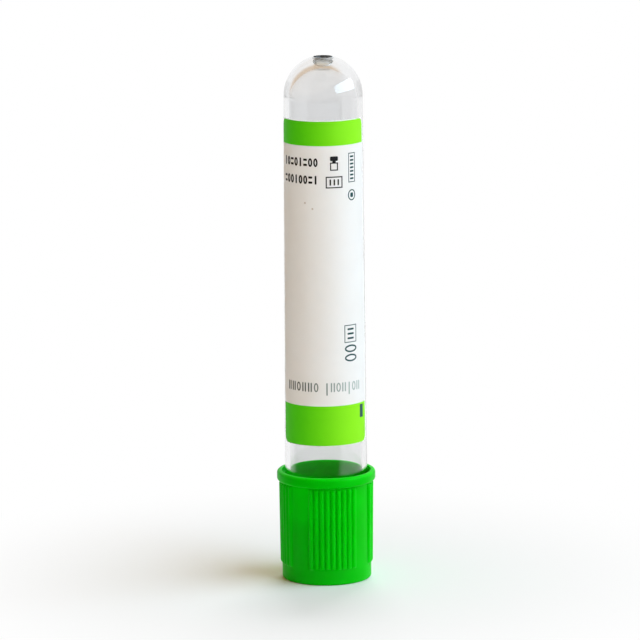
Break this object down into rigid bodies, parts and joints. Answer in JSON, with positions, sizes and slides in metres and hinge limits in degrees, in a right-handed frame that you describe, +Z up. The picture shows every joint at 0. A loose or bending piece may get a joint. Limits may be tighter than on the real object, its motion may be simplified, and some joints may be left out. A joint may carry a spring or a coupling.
{
  "type": "blood collection tube",
  "caption": "Clear round-ended sample tube standing on its ribbed cap, with a wrapped label and a rubber stopper held in the cap.",
  "frame": {"origin": "centre of the cap's end face, on the surface that the tube stands on", "axes": "+Z up the tube's axis towards its round end; -Y is the front of the label's print"},
  "size_m": [0.0194, 0.0194, 0.1039],
  "materials": {
    "cap_plastic": "satin moulded polyethylene",
    "stopper_rubber": "matt butyl rubber",
    "clear_plastic": "clear polished moulded plastic",
    "label_film": "satin white film",
    "band_ink": "satin printed ink",
    "mark_ink": "printed ink"
  },
  "bodies": {
    "closure": {"cap": "cap_plastic", "stopper": "stopper_rubber"},
    "tube": {"tube": "clear_plastic", "label": "label_film", "label_bands": "band_ink", "label_marks": "mark_ink"}
  },
  "joints": [
    {"name": "tube_pull", "type": "slide", "parent": "closure", "child": "tube", "axis": [0, 0, 1], "range_m": [0, 0.04]}
  ]
}
